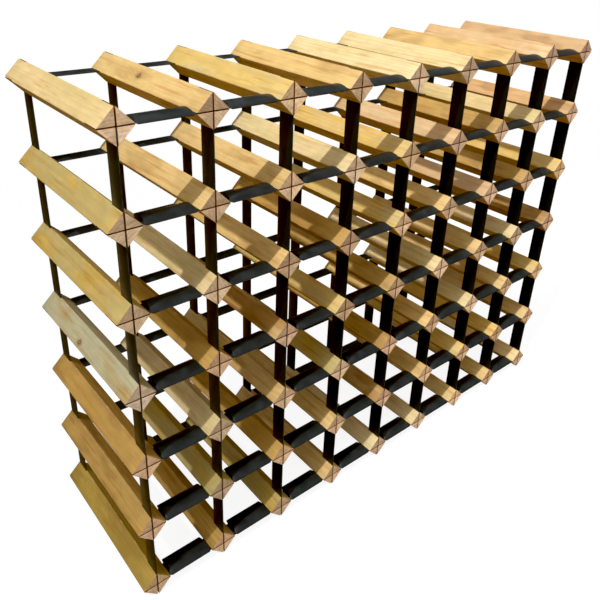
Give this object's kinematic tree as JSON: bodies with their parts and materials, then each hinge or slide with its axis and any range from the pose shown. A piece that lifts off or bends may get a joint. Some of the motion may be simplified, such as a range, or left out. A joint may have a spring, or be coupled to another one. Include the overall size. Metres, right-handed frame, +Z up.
{
  "type": "wine rack",
  "caption": "Open bottle rack of square wood battens set edge up in a grid and held front and rear by flat and arched black steel straps",
  "frame": {"origin": "centre of the footprint, on the floor", "axes": "+X to the right across the rack seen from the front, +Y from the front to the rear, +Z up"},
  "size_m": [0.787, 0.2286, 0.5989],
  "materials": {
    "softwood": "planed bare softwood, pale gold with pinkish end grain, satin",
    "black_steel": "satin black powder coat"
  },
  "bodies": {
    "root": {"base_row": "softwood", "batten_row1_col1": "softwood", "batten_row1_col2": "softwood", "batten_row1_col3": "softwood", "batten_row1_col4": "softwood", "batten_row1_col5": "softwood", "batten_row1_col6": "softwood", "batten_row1_col7": "softwood", "batten_row1_col8": "softwood", "batten_row1_col9": "softwood", "batten_row2_col1": "softwood", "batten_row2_col2": "softwood", "batten_row2_col3": "softwood", "batten_row2_col4": "softwood", "batten_row2_col5": "softwood", "batten_row2_col6": "softwood", "batten_row2_col7": "softwood", "batten_row2_col8": "softwood", "batten_row2_col9": "softwood", "batten_row3_col1": "softwood", "batten_row3_col2": "softwood", "batten_row3_col3": "softwood", "batten_row3_col4": "softwood", "batten_row3_col5": "softwood", "batten_row3_col6": "softwood", "batten_row3_col7": "softwood", "batten_row3_col8": "softwood", "batten_row3_col9": "softwood", "batten_row4_col1": "softwood", "batten_row4_col2": "softwood", "batten_row4_col3": "softwood", "batten_row4_col4": "softwood", "batten_row4_col5": "softwood", "batten_row4_col6": "softwood", "batten_row4_col7": "softwood", "batten_row4_col8": "softwood", "batten_row4_col9": "softwood", "batten_row5_col1": "softwood", "batten_row5_col2": "softwood", "batten_row5_col3": "softwood", "batten_row5_col4": "softwood", "batten_row5_col5": "softwood", "batten_row5_col6": "softwood", "batten_row5_col7": "softwood", "batten_row5_col8": "softwood", "batten_row5_col9": "softwood", "batten_row6_col1": "softwood", "batten_row6_col2": "softwood", "batten_row6_col3": "softwood", "batten_row6_col4": "softwood", "batten_row6_col5": "softwood", "batten_row6_col6": "softwood", "batten_row6_col7": "softwood", "batten_row6_col8": "softwood", "batten_row6_col9": "softwood", "front_straps_upper": "black_steel", "front_straps_lower": "black_steel", "rear_straps_upper": "black_steel", "rear_straps_lower": "black_steel"}
  },
  "joints": []
}
